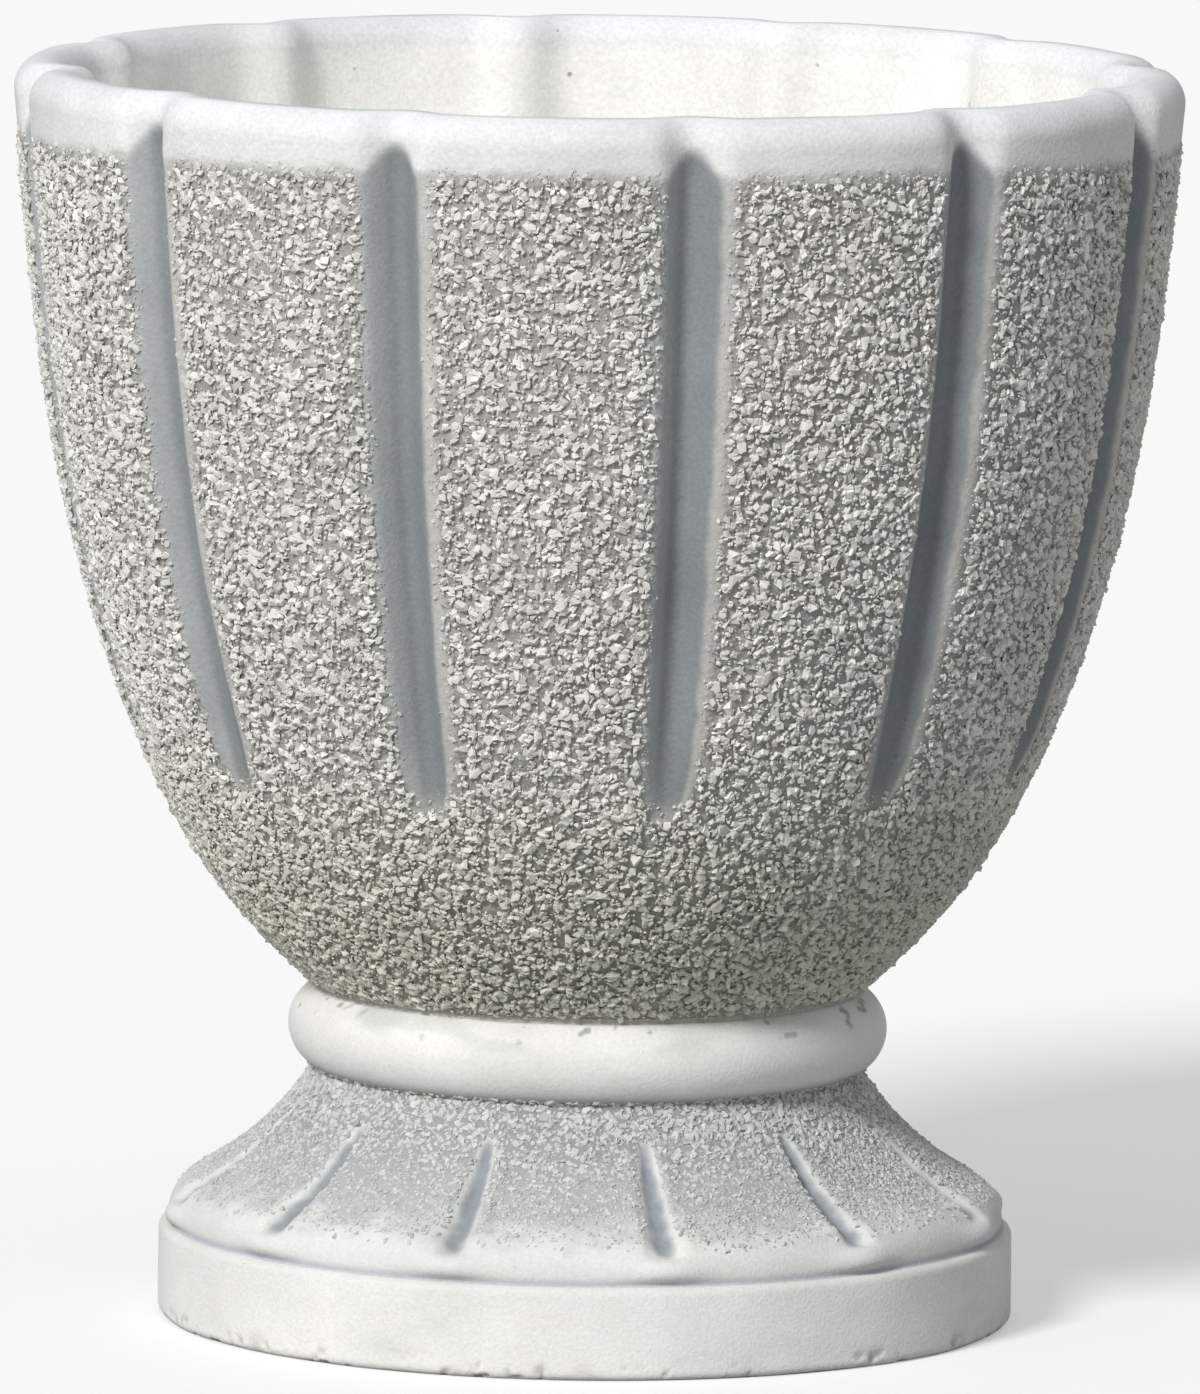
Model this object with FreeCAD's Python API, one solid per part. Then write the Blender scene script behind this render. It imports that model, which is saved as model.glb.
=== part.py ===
import FreeCAD, Part
import math
import os

# Urn planter of cast stone: a fluted bowl bedded in mortar on a flared foot.
# All sizes are in millimetres. The origin is on the ground, on the axis, and
# angles are counted from the front (-Y) towards the right (+X).

# ---------------------------------------------------------------- bowl
RIM_RADIUS = 300.0          # axis to the outermost face of a lobe, under the lip
BOWL_SEAT_RADIUS = 143.0    # edge of the flat underside of the bowl
BOWL_HEIGHT = 471.0         # underside of the bowl to the top of the lip
BOWL_WALL = 30.0            # concrete between the outer and the inner face
BOWL_FLOOR = 38.0           # concrete under the soil
DISH_RADIUS = 104.0         # flat middle of the inside floor

# Flare of the wall, from the seat to the lip: share of the wall's height,
# and share of the way from the seat radius to the rim radius.
WALL_FLARE = (
    (0.0, 0.0),
    (0.033, 0.102),
    (0.065, 0.192),
    (0.120, 0.325),
    (0.187, 0.449),
    (0.270, 0.570),
    (0.354, 0.668),
    (0.554, 0.833),
    (0.789, 0.941),
    (1.0, 1.0),
)

# ---------------------------------------------------------------- flutes
FLUTE_COUNT = 12
FLUTE_TURN = 9.3            # degrees from the front to the nearest flute
FLUTE_DEPTH = 13.0          # lobe to flute floor, at the rim radius
FLUTE_HALF_ANGLE = 2.25     # degrees, half width of a flute seen from the axis
FLUTE_SHARPNESS = 2.5       # how square the flute's section is
FLUTE_END_HEIGHT = 112.0    # underside of the bowl to the lower end of a flute
FLUTE_RUN_OUT = 130.0       # length over which a flute reaches its full depth
LOBE_CROWN = 3.0            # swell of a lobe's middle, at the rim radius

# Where the outline is set out: the edges of a flute's floor and of its sides
# in half angles, the straights of a lobe, shares of the height below the
# flutes, of their run-out and of the wall above it, and steps round the lip.
FLUTE_FACETS = (0.5, 1.65)
LOBE_FACETS = 4
TUCK_STATIONS = (0.2, 0.55)
RUN_OUT_STATIONS = (0.0, 0.12, 0.4, 1.0)
UPPER_STATIONS = (0.5,)
LIP_STEPS = 5

# ---------------------------------------------------------------- foot
PLINTH_RADIUS = 220.0
PLINTH_HEIGHT = 47.0
PLINTH_EDGE = 3.0           # bevel of the plinth's upper edge
LEDGE_WIDTH = 6.5           # plinth's edge to the upright of the shoulder
SHOULDER_RISE = 8.0         # upright part of the shoulder
SHOULDER_ROUND = 14.0       # height of the shoulder's rounding
SHOULDER_IN = 9.5           # how far that rounding draws in
SKIRT_SWEEP = 6.0           # hollow of the skirt's curve under its chord
NECK_RADIUS = 140.0         # waist between the skirt and the neck ring
NECK_HEIGHT = 129.0         # ground to the waist
RING_HEIGHT = 151.5         # ground to the middle of the neck ring
RING_RADIUS = 154.0         # outermost face of the neck ring
RING_TUBE = 19.8            # radius of the ring's section
RING_TOP_CUT = 1.3          # cut off the ring's round for the bowl's seat
FOOT_WALL = 42.0            # concrete between the skirt and the hollow
FOOT_DECK = 60.0            # concrete between the hollow and the bowl's seat

FOOT_TURN = 11.2            # degrees from the front to the nearest groove
GROOVE_TOP_HALF_WIDTH = 5.0
GROOVE_TOP_DEPTH = 4.0
GROOVE_END_HALF_WIDTH = 10.0
GROOVE_END_DEPTH = 6.0
GROOVE_TOP_MARGIN = 0.70    # share of the skirt below a groove's upper end
GROOVE_END_MARGIN = 0.10    # share of the skirt below a groove's lower end
GROOVE_NOSE = 0.71          # how far a groove's end is drawn in, in its radius
GROOVE_FACETS = 8           # sides of the scoop, less than half of them cut
SKIRT_STEPS = 2             # straight runs in which the foot's curves are turned
RING_STEPS = 4
HOLLOW_STEPS = 2

# ---------------------------------------------------------------- joint and drain
MORTAR_THICKNESS = 3.0
MORTAR_SET_BACK = 2.5       # mortar to the edge of the bowl's underside
SPIGOT_RADIUS = 80.0        # boss under the bowl that centres it on the foot
SPIGOT_LENGTH = 14.0
SPIGOT_CLEARANCE = 3.0      # round the spigot and under it
MORTAR_FIT = 0.3            # mortar to spigot
SLEEVE_RADIUS = 16.0        # outside of the drain sleeve
SLEEVE_WALL = 2.5
SLEEVE_FIT = 0.2            # cast concrete to sleeve
SLEEVE_DRIP = 22.0          # how far the sleeve hangs below the spigot
PASSAGE_RADIUS = 40.0       # way for the water through the foot

# ---------------------------------------------------------------- reinforcement
BAR_SIZE = 6.0              # square bar, up and down the castings
HOOP_SIZE = 5.0             # square bar, round them
BAR_COUNT = 6
BOND_GAP = 0.15             # steel to the concrete cast round it
TIE_GAP = 0.5               # bar to hoop where they are wired together
HOOP_BENDS = 24             # short straight lengths in a hoop
BAR_DEPTH = 14.5            # face of a lobe to the middle of a bar
BAR_END_COVER = 30.0        # lip to the upper end of a bar
BAR_KINKS = (0.74, 0.52, 0.34, 0.20, 0.085)   # shares of the wall's height
BAR_FLOOR_TURN = 128.0      # axis to the bend into the bowl's floor
BAR_FLOOR_REACH = 55.0      # axis to the end of a bar in the floor
FOOT_BAR_COVER = 12.0       # ground, and bowl's seat, to a bar's end
RING_BAR_DEPTH = 30.0       # face of the neck ring to the middle of a bar

# ---------------------------------------------------------------- places
FOOT_TOP = RING_HEIGHT + RING_TUBE - RING_TOP_CUT
BOWL_Z = FOOT_TOP + MORTAR_THICKNESS
WALL_HEIGHT = BOWL_HEIGHT - BOWL_WALL / 2
LOBE_ANGLE = 360.0 / FLUTE_COUNT
SHOULDER_RADIUS = PLINTH_RADIUS - LEDGE_WIDTH
SKIRT_FOOT = (SHOULDER_RADIUS - SHOULDER_IN, PLINTH_HEIGHT + SHOULDER_RISE + SHOULDER_ROUND)
SKIRT_TOP = (NECK_RADIUS, NECK_HEIGHT)
Z_AXIS = FreeCAD.Vector(0, 0, 1)
CENTRE = FreeCAD.Vector(0, 0, 0)


def place(radius, height, turn=0.0):
    """Point at a radius and a height, turned from the front."""
    angle = math.radians(turn)
    return FreeCAD.Vector(radius * math.sin(angle), -radius * math.cos(angle), height)


def section_point(point):
    """Point of a half section, drawn in the plane in front of the axis."""
    return place(point[0], point[1])


def runs(start, middle, end, steps):
    """Points that set out an arc of a half section in straight runs."""
    curve = Part.Arc(section_point(start), section_point(middle), section_point(end))
    points = [curve.value(curve.FirstParameter + (curve.LastParameter - curve.FirstParameter)
                          * step / steps) for step in range(steps + 1)]
    return [(-point.y, point.z) for point in points]


def bowed(start, end, rise):
    """Middle of an arc from start to end that rises to the right of its chord."""
    along = (end[0] - start[0], end[1] - start[1])
    length = math.hypot(*along)
    middle = ((start[0] + end[0]) / 2, (start[1] + end[1]) / 2)
    return (middle[0] + rise * along[1] / length, middle[1] - rise * along[0] / length)


def revolve(corners):
    """Solid of revolution of a half section, given by its corners."""
    outline = Part.makePolygon([section_point(corner) for corner in corners + corners[:1]])
    return Part.Face(outline).revolve(CENTRE, Z_AXIS, 360)


def ring(inner, outer, low, high):
    """Plain tube round the axis."""
    return revolve([(inner, low), (outer, low), (outer, high), (inner, high)])


# ---------------------------------------------------------------- bowl
def flare_curve():
    """Outer face of a lobe, as a curve from the seat to the lip."""
    spread = RIM_RADIUS - BOWL_SEAT_RADIUS
    curve = Part.BSplineCurve()
    curve.interpolate([
        FreeCAD.Vector(BOWL_SEAT_RADIUS + share * spread, 0, rise * WALL_HEIGHT)
        for rise, share in WALL_FLARE
    ])
    return curve


FLARE = flare_curve()


def wall_point(height, inset=0.0):
    """Radius and height, inset square to the outer face from a place on it."""
    low, high = FLARE.FirstParameter, FLARE.LastParameter
    for _ in range(50):
        middle = (low + high) / 2
        if FLARE.value(middle).z < height:
            low = middle
        else:
            high = middle
    point = FLARE.value(low)
    along = FLARE.tangent(low)[0]
    return (point.x - inset * along.z, point.z + inset * along.x)


def relief(height):
    """Share of the flutes' full depth at a height: a scooped end, then even."""
    share = (height - FLUTE_END_HEIGHT) / FLUTE_RUN_OUT
    share = min(max(share, 0.0), 1.0)
    return math.sqrt(1 - (1 - share) ** 2)


def outline_offsets():
    """Turns from a flute's middle at which one flute and one lobe are set out."""
    flute = [share * FLUTE_HALF_ANGLE for share in FLUTE_FACETS]
    lobe = (LOBE_ANGLE - 2 * flute[-1]) / LOBE_FACETS
    return ([-offset for offset in reversed(flute)] + flute
            + [flute[-1] + lobe * number for number in range(1, LOBE_FACETS)])


def lobe_outline(radius, height, depth_share):
    """Closed outline of all the flutes and lobes at one level."""
    half = LOBE_ANGLE / 2
    corners = []
    for lobe in range(FLUTE_COUNT):
        for offset in outline_offsets():
            from_flute = min(abs(offset), LOBE_ANGLE - offset)
            flute = FLUTE_DEPTH * math.exp(-(from_flute / FLUTE_HALF_ANGLE) ** FLUTE_SHARPNESS)
            fall = LOBE_CROWN * (1 - from_flute / half) ** 2
            drawn_in = depth_share * (flute + fall) / RIM_RADIUS
            corners.append(place(radius * (1 - drawn_in), height,
                                 FLUTE_TURN + lobe * LOBE_ANGLE + offset))
    return Part.makePolygon(corners + corners[:1])


def wall_levels(heights, inset=0.0):
    """Radius, height and share of the flutes' depth, up one face of the wall."""
    return [wall_point(height, inset) + (relief(height),) for height in heights]


def lip_levels():
    """Levels of the full round lip, from the outer face over to the inner one."""
    outer = wall_point(WALL_HEIGHT)
    inner = wall_point(WALL_HEIGHT, BOWL_WALL)
    middle = ((outer[0] + inner[0]) / 2, (outer[1] + inner[1]) / 2)
    start = math.atan2(outer[1] - inner[1], outer[0] - inner[0])
    angles = [start + math.pi * step / LIP_STEPS for step in range(LIP_STEPS + 1)]
    return [(middle[0] + BOWL_WALL / 2 * math.cos(angle),
             middle[1] + BOWL_WALL / 2 * math.sin(angle), 1.0) for angle in angles]


def flat_panels(body):
    """The same body with each warped panel parted in two flat ones."""
    faces = []
    for panel in body.Faces:
        corners = [vertex.Point for vertex in panel.OuterWire.OrderedVertexes]
        if panel.findPlane() or len(corners) != 4:
            faces.append(Part.Face(Part.makePolygon(corners + corners[:1])))
        else:
            first, second, third, fourth = corners
            for part in ((first, second, third, first), (first, third, fourth, first)):
                faces.append(Part.Face(Part.makePolygon(part)))
    shell = Part.Shell(faces)
    shell.sewShape()
    return Part.Solid(shell)


def bowl_casting():
    """One loft, up the outside, over the lip and down the inside to the floor."""
    tuck = [share * FLUTE_END_HEIGHT for share in TUCK_STATIONS]
    run_out = [FLUTE_END_HEIGHT + share * FLUTE_RUN_OUT for share in RUN_OUT_STATIONS]
    upper = [run_out[-1] + share * (WALL_HEIGHT - run_out[-1]) for share in UPPER_STATIONS]
    inner = wall_levels(tuck + run_out[::2] + run_out[-1:], BOWL_WALL)
    levels = [(BOWL_SEAT_RADIUS, 0.0, 0.0)] + wall_levels(tuck + run_out + upper)
    levels += lip_levels() + inner[::-1] + [(DISH_RADIUS, BOWL_FLOOR, 0.0)]
    outlines = [lobe_outline(radius, BOWL_Z + level, share) for radius, level, share in levels]
    body = flat_panels(Part.makeLoft(outlines, True, True))
    spigot = Part.makeCylinder(SPIGOT_RADIUS, SPIGOT_LENGTH + BOWL_FLOOR / 2,
                               FreeCAD.Vector(0, 0, BOWL_Z - SPIGOT_LENGTH))
    drain = Part.makeCylinder(SLEEVE_RADIUS + SLEEVE_FIT, BOWL_HEIGHT,
                              FreeCAD.Vector(0, 0, BOWL_Z - SPIGOT_LENGTH))
    return body.fuse(spigot).cut(drain)


# ---------------------------------------------------------------- foot
def skirt_arc():
    """Hollow curve of the skirt, from the shoulder up to the waist."""
    return SKIRT_FOOT, bowed(SKIRT_FOOT, SKIRT_TOP, -SKIRT_SWEEP), SKIRT_TOP


def ring_arc():
    """Round of the neck ring, from the waist up to the bowl's seat."""
    centre = RING_RADIUS - RING_TUBE
    seat_rise = RING_TUBE - RING_TOP_CUT
    seat_reach = math.sqrt(RING_TUBE ** 2 - seat_rise ** 2)
    return SKIRT_TOP, (RING_RADIUS, RING_HEIGHT), (centre + seat_reach, FOOT_TOP)


def skirt_inset(point, inset):
    """A place on the skirt's chord, moved square to it into the concrete."""
    along = (SKIRT_TOP[0] - SKIRT_FOOT[0], SKIRT_TOP[1] - SKIRT_FOOT[1])
    length = math.hypot(*along)
    return (point[0] - inset * along[1] / length, point[1] + inset * along[0] / length)


def foot_body():
    """Plinth, skirt and neck ring over a hollow, with a socket for the spigot."""
    edge = PLINTH_EDGE

    socket = SPIGOT_RADIUS + SPIGOT_CLEARANCE
    socket_floor = BOWL_Z - SPIGOT_LENGTH - SPIGOT_CLEARANCE
    deck = FOOT_TOP - FOOT_DECK
    hollow_low = skirt_inset(SKIRT_FOOT, FOOT_WALL)
    hollow_high = skirt_inset(SKIRT_TOP, FOOT_WALL)
    slope = (hollow_high[0] - hollow_low[0]) / (hollow_high[1] - hollow_low[1])
    draught = (deck - hollow_low[1]) / HOLLOW_STEPS
    hollow = [(hollow_low[0] + slope * draught * step, hollow_low[1] + draught * step)
              for step in range(HOLLOW_STEPS + 1)]

    section = [
        (hollow_low[0], 0),
        (PLINTH_RADIUS, 0),
        (PLINTH_RADIUS, PLINTH_HEIGHT - edge),
        (PLINTH_RADIUS - edge, PLINTH_HEIGHT),
        (SHOULDER_RADIUS, PLINTH_HEIGHT),
        (SHOULDER_RADIUS, PLINTH_HEIGHT + SHOULDER_RISE),
    ]
    section += runs(*skirt_arc(), SKIRT_STEPS)
    section += runs(*ring_arc(), RING_STEPS)[1:]
    section += [
        (socket, FOOT_TOP),
        (socket, socket_floor),
        (PASSAGE_RADIUS, socket_floor),
        (PASSAGE_RADIUS, deck),
    ]
    section += reversed(hollow)
    return revolve(section)


def groove_end(share, half_width, depth):
    """Middle and radius of the round that scoops out one end of a groove."""
    start, middle, end = [section_point(point) for point in skirt_arc()]
    skirt = Part.Arc(start, middle, end)
    parameter = skirt.FirstParameter + share * (skirt.LastParameter - skirt.FirstParameter)
    outward = skirt.tangent(parameter)[0].cross(FreeCAD.Vector(1, 0, 0))
    if outward.y > 0:
        outward = outward.negative()
    radius = (half_width ** 2 + depth ** 2) / (2 * depth)
    return skirt.value(parameter) + outward * (radius - depth), radius


def groove_cutter():
    """Tapering scoop along the skirt, drawn in at both ends."""
    low, low_radius = groove_end(GROOVE_END_MARGIN, GROOVE_END_HALF_WIDTH, GROOVE_END_DEPTH)
    high, high_radius = groove_end(GROOVE_TOP_MARGIN, GROOVE_TOP_HALF_WIDTH, GROOVE_TOP_DEPTH)
    along = (high - low).normalize()
    across = FreeCAD.Vector(1, 0, 0)
    inward = along.cross(across)
    low_nose = low_radius * GROOVE_NOSE
    high_nose = high_radius * GROOVE_NOSE
    outlines = []
    for middle, radius in ((low - along * low_nose, low_nose), (low, low_radius),
                           (high, high_radius), (high + along * high_nose, high_nose)):
        corners = []
        for corner in range(GROOVE_FACETS + 1):
            angle = 2 * math.pi * (corner + 0.5) / GROOVE_FACETS
            corners.append(middle + (inward * math.cos(angle) + across * math.sin(angle)) * radius)
        outlines.append(Part.makePolygon(corners))
    return Part.makeLoft(outlines, True, True)


def foot_casting():
    cutter = groove_cutter()
    cutters = []
    for groove in range(FLUTE_COUNT):
        turned = cutter.copy()
        turned.rotate(CENTRE, Z_AXIS, FOOT_TURN + groove * LOBE_ANGLE)
        cutters.append(turned)
    return foot_body().cut(cutters)


# ---------------------------------------------------------------- reinforcement
def square(middle, along, side, size):
    """Square outline round a point, across a direction."""
    up = along.cross(side).normalize()
    corners = [middle + side * (size / 2 * x) + up * (size / 2 * y)
               for x, y in ((-1, -1), (1, -1), (1, 1), (-1, 1), (-1, -1))]
    return Part.makePolygon(corners)


def kinked_bar(points, size):
    """Square bar through the points of a half section, mitred at each kink."""
    corners = [section_point(point) for point in points]
    path = Part.makePolygon(corners)
    profile = square(corners[0], (corners[1] - corners[0]).normalize(), FreeCAD.Vector(1, 0, 0), size)
    return path.makePipeShell([profile], True, False, 1)


def hoop(bar_run, share, first_turn, size):
    """Hoop of short straights inside the bars, at a share of one run of theirs."""
    (low_radius, low_height), (high_radius, high_height) = bar_run
    length = math.hypot(high_radius - low_radius, high_height - low_height)
    slope = ((high_radius - low_radius) / length, (high_height - low_height) / length)
    reach = HOOP_SIZE / 2 * (abs(slope[0]) + abs(slope[1]))
    apart = (BAR_SIZE / 2 + TIE_GAP + reach) / abs(slope[1])
    radius = low_radius + share * (high_radius - low_radius) - apart
    height = low_height + share * (high_height - low_height) - size / 2
    outlines = []
    for face in (radius + size / 2, radius - size / 2):
        corners = [place(face, height, first_turn + bend * 360.0 / HOOP_BENDS)
                   for bend in range(HOOP_BENDS + 1)]
        outlines.append(Part.makePolygon(corners))
    flat = Part.makeFace(outlines, "Part::FaceMakerBullseye")
    return flat.extrude(FreeCAD.Vector(0, 0, size))


def bowl_bar_path():
    """Down the middle of a lobe's wall and in under the soil."""
    path = [wall_point(BOWL_HEIGHT - BAR_END_COVER, BAR_DEPTH)]
    path += [wall_point(share * WALL_HEIGHT, BAR_DEPTH) for share in BAR_KINKS]
    path += [(BAR_FLOOR_TURN, BOWL_FLOOR / 2), (BAR_FLOOR_REACH, BOWL_FLOOR / 2)]
    return [(radius, BOWL_Z + height) for radius, height in path]


def foot_bar_path():
    """Up from the plinth, under the skirt, and into the neck ring."""
    base = (PLINTH_RADIUS - FOOT_WALL / 2, FOOT_BAR_COVER)
    low = skirt_inset(SKIRT_FOOT, FOOT_WALL / 2)
    high = skirt_inset(SKIRT_TOP, FOOT_WALL / 2)
    top = (RING_RADIUS - RING_BAR_DEPTH, FOOT_TOP - FOOT_BAR_COVER)
    return [base, low, high, top]


def cast_in(casting, pieces):
    """The casting with a channel for each piece of steel in it."""
    return casting.cut(pieces)


def cage(path, hoops, first_turn, prefix):
    """Bars spaced round the axis and their hoops, and the channels they fill."""
    steel = {}
    channels = []
    channel = kinked_bar(path, BAR_SIZE + 2 * BOND_GAP)
    bar = kinked_bar(path, BAR_SIZE)
    for number in range(BAR_COUNT):
        turn = first_turn + number * 360.0 / BAR_COUNT
        for shape in (bar, channel):
            turned = shape.copy()
            turned.rotate(CENTRE, Z_AXIS, turn)
            if shape is bar:
                steel["%s_bar_%d" % (prefix, number + 1)] = turned
            else:
                channels.append(turned)
    for name, (run, share) in hoops.items():
        ends = (path[run], path[run + 1])
        steel["%s_hoop_%s" % (prefix, name)] = hoop(ends, share, first_turn, HOOP_SIZE)
        channels.append(hoop(ends, share, first_turn, HOOP_SIZE + 2 * BOND_GAP))
    return steel, channels


# ---------------------------------------------------------------- all pieces
def build():
    parts = {}
    bowl_steel, bowl_channels = cage(
        bowl_bar_path(),
        {"top": (0, 0.25), "bottom": (3, 0.5)},
        FLUTE_TURN + LOBE_ANGLE / 2,
        "bowl",
    )
    foot_steel, foot_channels = cage(
        foot_bar_path(),
        {"base": (0, 0.3)},
        FOOT_TURN + LOBE_ANGLE / 2,
        "foot",
    )
    parts["bowl"] = cast_in(bowl_casting(), bowl_channels)
    parts["foot"] = cast_in(foot_casting(), foot_channels)
    parts["mortar_bed"] = ring(SPIGOT_RADIUS + MORTAR_FIT, BOWL_SEAT_RADIUS - MORTAR_SET_BACK,
                               FOOT_TOP, BOWL_Z)
    parts["drain_sleeve"] = ring(SLEEVE_RADIUS - SLEEVE_WALL, SLEEVE_RADIUS,
                                 BOWL_Z - SPIGOT_LENGTH - SLEEVE_DRIP, BOWL_Z + BOWL_FLOOR)
    parts.update(bowl_steel)
    parts.update(foot_steel)
    return parts


os.makedirs("parts", exist_ok=True)
for node, shape in build().items():
    print(node, shape.ShapeType, len(shape.Solids), shape.isValid(), round(shape.Volume))
    shape.exportStep("parts/%s.step" % node)
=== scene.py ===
import math
import bmesh
import bpy
import mathutils
import numpy as np
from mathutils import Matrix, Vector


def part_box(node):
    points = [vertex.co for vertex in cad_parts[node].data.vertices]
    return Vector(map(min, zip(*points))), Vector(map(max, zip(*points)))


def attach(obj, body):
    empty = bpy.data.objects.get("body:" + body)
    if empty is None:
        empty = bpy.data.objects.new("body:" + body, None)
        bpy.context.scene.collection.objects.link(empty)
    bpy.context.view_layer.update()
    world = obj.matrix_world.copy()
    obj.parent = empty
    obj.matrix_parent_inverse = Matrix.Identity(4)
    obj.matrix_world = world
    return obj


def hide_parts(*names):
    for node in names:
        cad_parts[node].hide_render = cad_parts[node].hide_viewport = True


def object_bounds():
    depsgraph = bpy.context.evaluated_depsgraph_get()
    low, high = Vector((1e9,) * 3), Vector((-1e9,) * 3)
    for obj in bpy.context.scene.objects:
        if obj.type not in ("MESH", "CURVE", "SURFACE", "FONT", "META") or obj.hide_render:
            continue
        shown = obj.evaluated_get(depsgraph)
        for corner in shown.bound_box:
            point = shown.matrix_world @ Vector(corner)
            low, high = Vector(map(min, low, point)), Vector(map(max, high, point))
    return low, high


# Urn planter of cast stone: a fluted bowl of marble chips in pale cement, on a
# flared foot. Sizes are in metres and turns in degrees, counted from the front
# (-Y) towards the right (+X). A pair of values without a note is a radius and a
# height, where it is a corner of a section, or else where a fade starts and ends.

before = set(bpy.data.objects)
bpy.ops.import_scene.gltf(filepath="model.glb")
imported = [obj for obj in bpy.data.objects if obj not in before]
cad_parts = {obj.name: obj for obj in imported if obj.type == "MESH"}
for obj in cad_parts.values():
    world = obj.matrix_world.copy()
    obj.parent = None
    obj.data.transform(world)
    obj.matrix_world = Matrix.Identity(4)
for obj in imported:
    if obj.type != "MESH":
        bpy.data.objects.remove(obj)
START_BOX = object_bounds()

# ---------------------------------------------------------------- bowl sizes
SKIN_GAP = 0.0002           # skin to the solids' faces at the plinth and round the sleeve
BOX_MARGIN = 0.0001         # visible faces to the box of the solids
RIM_RADIUS = 0.2995         # outermost face of a lobe
LIP_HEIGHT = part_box("bowl")[1][2]
SEAT_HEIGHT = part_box("mortar_bed")[1][2]
FLOOR_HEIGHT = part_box("drain_sleeve")[1][2]
SLEEVE_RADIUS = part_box("drain_sleeve")[1][0] + SKIN_GAP

SEAT_RADIUS = 0.143
WALL = 0.030
WALL_FOOT = 0.018           # floor to the foot of the inner wall
DISH_RADIUS = 0.104
DISH_BEND = (0.022, 0.003)  # from that foot inwards, and up from the floor
SPIGOT_RADIUS = 0.080
SPIGOT_LENGTH = 0.014
# Flare of the wall: share of its height, share of the way from seat to rim.
WALL_FLARE = (
    (0.0, 0.0), (0.033, 0.102), (0.065, 0.192), (0.12, 0.325), (0.187, 0.449),
    (0.27, 0.57), (0.354, 0.668), (0.554, 0.833), (0.789, 0.941), (1.0, 1.0),
)

LOBES = 12
LOBE_ANGLE = 360.0 / LOBES
FLUTE_TURN = 9.3
FLUTE_DEPTH = 0.013
FLUTE_HALF_ANGLE = 2.25
FLUTE_SHARPNESS = 2.5
FLUTE_END = 0.112           # seat to the lower end of a flute
FLUTE_RUN_OUT = 0.130
LOBE_CROWN = 0.003
LIP_SOFT = (LIP_HEIGHT - 0.030, LIP_HEIGHT - 0.008)    # where the flutes soften into the lip
SOFT_SHALLOWER = 0.20       # how much shallower and wider a soft flute is
SOFT_WIDER = 0.25
INSIDE_WIDER = 0.45         # added to that on the inner face

# ---------------------------------------------------------------- foot sizes
FOOT_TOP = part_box("foot")[1][2]
PLINTH_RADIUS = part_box("foot")[1][0] - SKIN_GAP
PLINTH_HEIGHT = 0.047
EDGE_ROUND = 0.004
SHOULDER_RADIUS = 0.2145
SHOULDER_LIFT = 0.001       # plinth to the foot of the shoulder's round
SHOULDER_BEND = (0.0022, 0.0135)    # shoulder's face inwards, and plinth upwards
SKIRT_FOOT = (0.2043, 0.0692)
SKIRT_SWEEP = 0.006
NECK = (0.140, 0.129)
RING_HEIGHT = 0.1515
RING_RADIUS = 0.154
RING_SEAT = 0.1415          # outer edge of the ring's flat top
SOCKET = (0.083, 0.156)     # radius and floor of the spigot's socket
PASSAGE_RADIUS = 0.040
HOLLOW_TOP = (0.0989, 0.110)
HOLLOW_WALL = (0.1753, 0.0384)

GROOVE_TURN = 11.2
GROOVE_LOW = 0.0600         # ground to a groove's lower and upper end
GROOVE_HIGH = 0.1135
GROOVE_DEPTHS = (0.0062, 0.0036)        # at the lower end, at the upper end
GROOVE_HALF_WIDTHS = (0.0082, 0.0040)
GROOVE_SHARPNESS = 2.2      # how square a groove's section and its ends are
GROOVE_END_SHARPNESS = 5
GROOVE_IN = (0.047, 0.052)  # heights at which the grooves and their lips set in and stop
GROOVE_OUT = (0.118, 0.126)
SWELL = 0.0048              # raised lip under a groove's lower end
SWELL_PLACE = 0.0545        # ground to its middle
SWELL_REACH = (0.020, 0.0065)           # sideways, and up and down
RIDGE = 0.0009              # ridge along each side of a groove
RIDGE_PLACE = 1.5           # groove's middle to the ridge, in half widths
RIDGE_REACH = 0.0045
RIDGE_IN = (0.060, 0.070)
RIDGE_OUT = (0.095, 0.112)

# ---------------------------------------------------------------- fineness
FLARE_POINTS = 400
BOWL_ROW = 0.0016           # spacing of the rows of points
INNER_ROW = 0.004
UNDER_ROW = 0.008
FOOT_ROW = 0.0015
HOLLOW_ROW = 0.006
LIP_STEPS = 24
DISH_POINTS = 10
EDGE_POINTS = 6
SHOULDER_POINTS = 14
SKIRT_POINTS = 40
RING_POINTS = 30
BOWL_COLUMNS = 100          # in each lobe
FOOT_COLUMNS = 76
COLUMN_BIAS = 0.25          # how much closer the columns are at the flutes
OUTSIDE, LIP, INSIDE = range(3)         # zones of the bowl's section

# ---------------------------------------------------------------- chips
CHIP_TOP = 0.450            # seat to the upper edge of the chips, in front
CHIP_DROP = 0.010           # how much lower that edge lies at the sides
CHIP_FADE = 0.014           # height over which they thin out under that edge
CHIP_FOOT = (-0.001, 0.002) # heights over the seat at which they set in
STRIP_LEFT = (2.2, 3.9)     # degrees from a flute's middle to the first chips, and to all
STRIP_RIGHT = (2.8, 5.4)
STRIP_END = (0.05, 0.50)    # relief at which the smooth strip of a flute sets in
TAPER_KEEP = 0.45           # share of its width that the strip has at its lower end
TAPER_RELIEF = (0.1, 0.7)   # relief over which it widens
SKIRT_CHIPS_IN = (0.062, 0.084)         # heights at which the skirt's chip bed sets in and stops
SKIRT_CHIPS_OUT = (0.127, 0.132)
GROOVE_CLEAR = (0.10, 0.42) # how far in a groove the chips thin out, and are gone
CHIP_JITTER = 1.1           # how far a chip is thrown off its place, in cells
LINE_END = 0.001            # chips to the end of a section's line
CHIP_GRAIN = 0.5            # strength of a chip's own grain

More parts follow.
